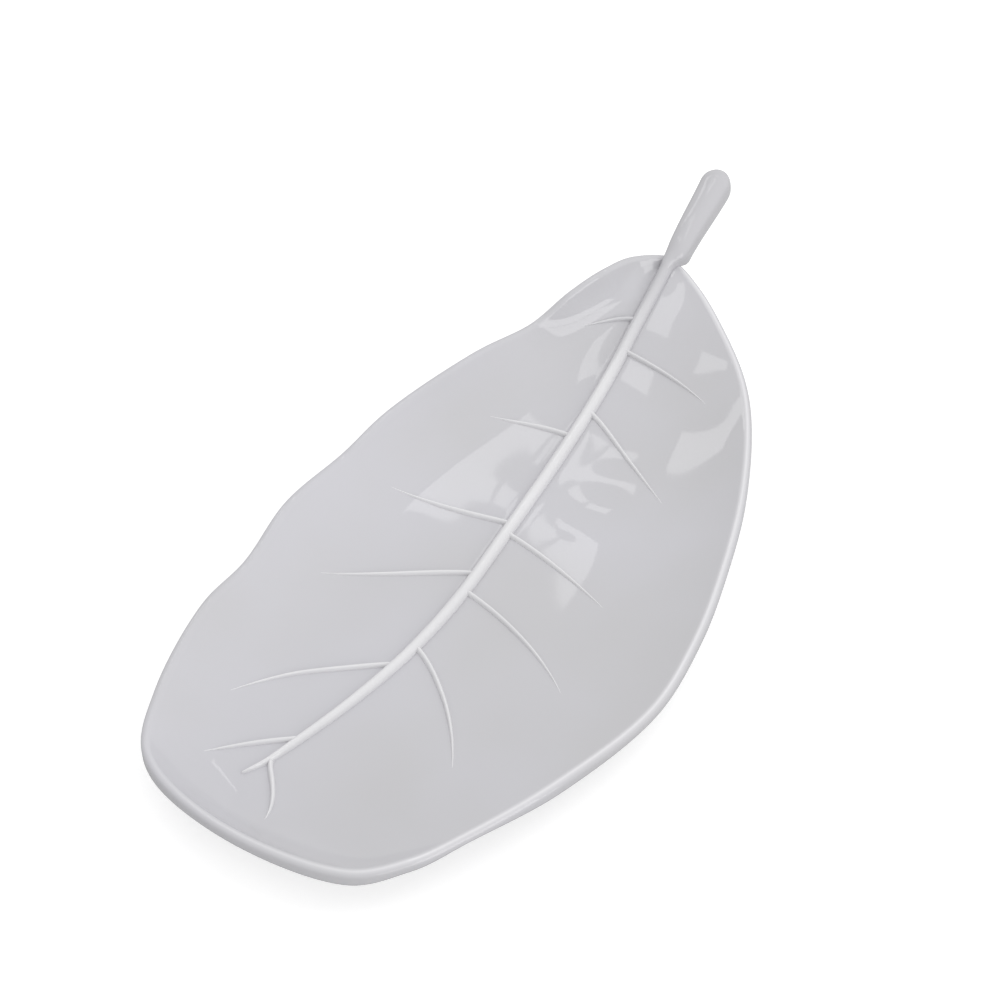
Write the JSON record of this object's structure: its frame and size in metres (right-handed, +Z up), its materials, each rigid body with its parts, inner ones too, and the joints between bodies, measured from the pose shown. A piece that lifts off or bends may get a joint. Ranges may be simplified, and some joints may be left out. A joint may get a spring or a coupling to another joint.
{
  "type": "leaf soap dish",
  "caption": "Shallow open soap dish shaped as a broad leaf, with a raised midrib that runs on as a stem, raised side veins, a wavy rounded rim and low non-slip feet.",
  "frame": {"origin": "on the table, under the middle of the dish and stem together", "axes": "+Y along the leaf from its blunt end to its stem, +Z up, +X to the right looking along +Y"},
  "size_m": [0.095, 0.2064, 0.0253],
  "materials": {
    "dish_plastic": "gloss",
    "foot_rubber": "matte"
  },
  "bodies": {
    "root": {"leaf_dish": "dish_plastic", "stem_midrib": "dish_plastic", "vein_left_1": "dish_plastic", "vein_left_2": "dish_plastic", "vein_left_3": "dish_plastic", "vein_left_4": "dish_plastic", "vein_left_5": "dish_plastic", "vein_left_6": "dish_plastic", "vein_right_1": "dish_plastic", "vein_right_2": "dish_plastic", "vein_right_3": "dish_plastic", "vein_right_4": "dish_plastic", "vein_right_5": "dish_plastic", "vein_right_6": "dish_plastic", "foot_stem_left": "foot_rubber", "foot_stem_right": "foot_rubber", "foot_end_left": "foot_rubber", "foot_end_right": "foot_rubber"}
  },
  "joints": []
}
